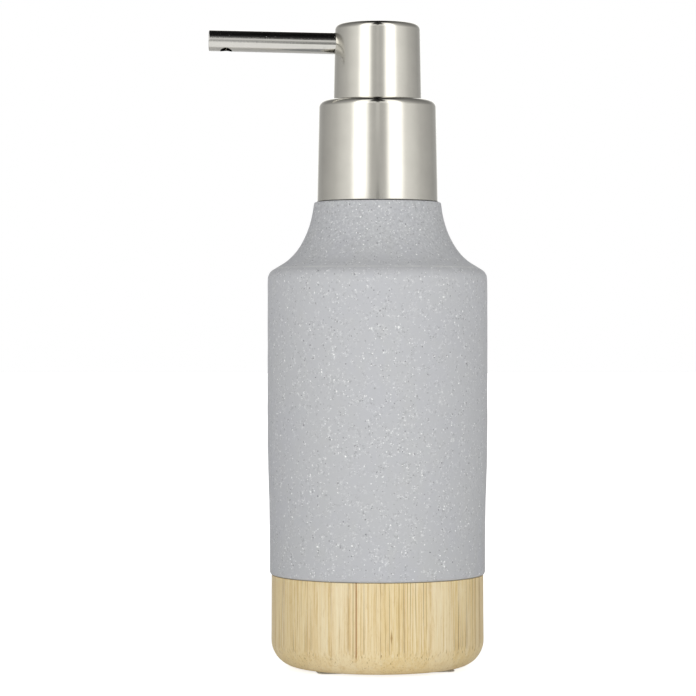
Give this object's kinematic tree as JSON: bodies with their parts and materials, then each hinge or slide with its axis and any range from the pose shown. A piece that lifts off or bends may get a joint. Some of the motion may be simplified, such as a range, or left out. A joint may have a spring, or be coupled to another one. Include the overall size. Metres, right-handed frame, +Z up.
{
  "type": "soap pump dispenser",
  "caption": "Round soap bottle in speckled resin with a concave shoulder, on a turned bamboo base, with a screw-on metal collar and a push-down, swivelling head with a long thin spout.",
  "frame": {"origin": "on the foot pad's underside, where the pump's axis meets it", "axes": "+Z up along the pump's axis, -X along the spout at rest, -Y towards the side that the picture shows"},
  "size_m": [0.0888, 0.07, 0.2051],
  "materials": {
    "foam": "fine-celled anti-slip foam",
    "bamboo": "laminated bamboo, satin clear finish",
    "resin": "matte speckled stone-effect resin",
    "nickel": "satin nickel",
    "steel": "bright drawn steel",
    "white_plastic": "moulded white polypropylene",
    "clear_plastic": "natural translucent polypropylene",
    "gasket": "soft polyethylene foam washer",
    "piston_plastic": "soft low-density polyethylene"
  },
  "bodies": {
    "bottle": {"foot_pad": "foam", "bamboo_base": "bamboo", "bottom_plug": "white_plastic", "body_shell": "resin", "neck_insert": "white_plastic"},
    "pump": {"pump_cylinder": "clear_plastic", "chaplet": "white_plastic", "neck_gasket": "gasket", "dip_tube": "clear_plastic", "return_spring": "steel"},
    "collar": {"closure_cap": "white_plastic", "collar_shell": "nickel"},
    "inlet_ball": {"inlet_ball": "steel"},
    "rod": {"piston_rod": "white_plastic"},
    "piston": {"piston": "piston_plastic"},
    "head": {"stem": "white_plastic", "actuator_insert": "white_plastic", "head_shell": "nickel", "spout_tube": "nickel", "spout_end_plug": "nickel"}
  },
  "joints": [
    {"name": "pump_rise", "type": "slide", "parent": "bottle", "child": "pump", "axis": [0, 0, 1], "range_m": [0, 0.00529]},
    {"name": "collar_unscrew", "type": "hinge", "parent": "pump", "child": "collar", "pos_m": [0, 0, 0.156], "axis": [0, 0, 1], "range_deg": [0, 450]},
    {"name": "inlet_ball_lift", "type": "slide", "parent": "pump", "child": "inlet_ball", "axis": [0, 0, 1], "range_m": [0, 0.0015]},
    {"name": "head_press", "type": "slide", "parent": "pump", "child": "rod", "axis": [0, 0, 1], "range_m": [-0.014, 0], "stiffness_N_per_m": 450, "springref_m": 0.012, "deforming": ["return_spring"]},
    {"name": "piston_lag", "type": "slide", "parent": "rod", "child": "piston", "axis": [0, 0, 1], "range_m": [0, 0.0008]},
    {"name": "head_turn", "type": "hinge", "parent": "rod", "child": "head", "pos_m": [0, 0, 0.19], "axis": [0, 0, 1], "continuous": true}
  ],
  "couplings": [
    {"joint": "collar_unscrew", "follows": "pump_rise", "rad_per_m": 1484.2}
  ]
}
